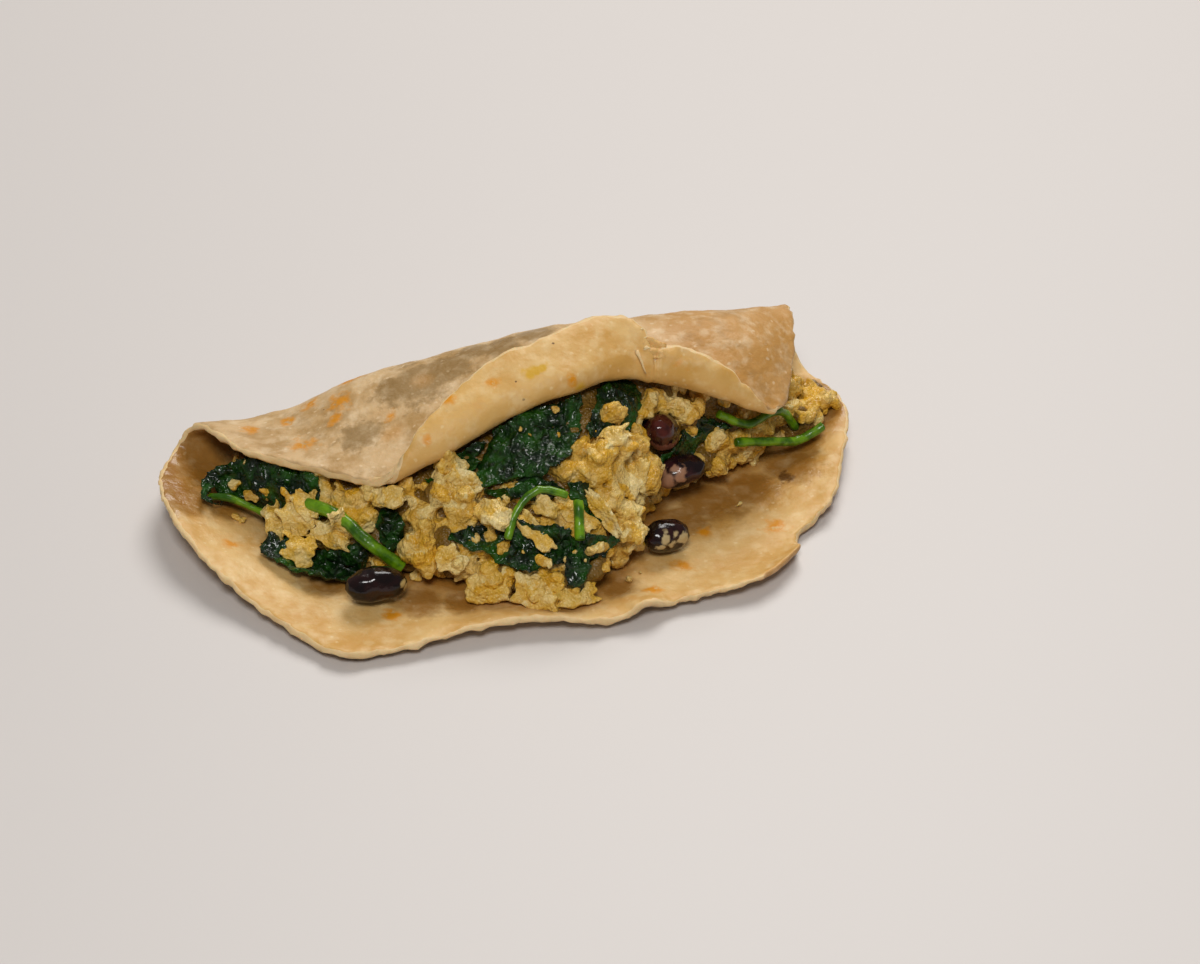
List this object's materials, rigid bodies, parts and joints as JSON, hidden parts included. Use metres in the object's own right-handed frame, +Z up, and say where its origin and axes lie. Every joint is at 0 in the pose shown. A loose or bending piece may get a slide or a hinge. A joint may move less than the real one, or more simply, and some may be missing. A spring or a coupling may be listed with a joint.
{
  "type": "breakfast taco",
  "caption": "Soft flour tortilla folded over scrambled egg, wilted spinach and black beans, its near edge turned back in a torn flap.",
  "frame": {"origin": "under the centre of the taco's outline, on the surface it lies on", "axes": "+X along the fold, to the right as seen from the open side; +Y from the open side to the back bend; +Z up"},
  "size_m": [0.1698, 0.0912, 0.0473],
  "materials": {
    "tortilla": "soft matt flour tortilla with small toasted spots",
    "egg": "moist crumbly scrambled egg",
    "spinach_leaf": "wet wilted leaf",
    "spinach_stem": "wet green stem",
    "black_bean": "glossy cooked bean skin"
  },
  "bodies": {
    "root": {"tortilla": "tortilla", "scrambled_egg": "egg", "black_bean_1": "black_bean", "black_bean_2": "black_bean", "black_bean_3": "black_bean", "black_bean_4": "black_bean", "spinach_stem_1": "spinach_stem", "spinach_stem_2": "spinach_stem", "spinach_stem_3": "spinach_stem", "spinach_stem_4": "spinach_stem", "spinach_stem_5": "spinach_stem", "spinach_stem_6": "spinach_stem", "spinach_leaf_1": "spinach_leaf", "spinach_leaf_2": "spinach_leaf", "spinach_leaf_3": "spinach_leaf", "spinach_leaf_4": "spinach_leaf", "spinach_leaf_5": "spinach_leaf", "spinach_leaf_6": "spinach_leaf", "spinach_leaf_7": "spinach_leaf", "spinach_leaf_8": "spinach_leaf", "spinach_leaf_9": "spinach_leaf", "spinach_leaf_10": "spinach_leaf", "spinach_leaf_11": "spinach_leaf"}
  },
  "joints": []
}
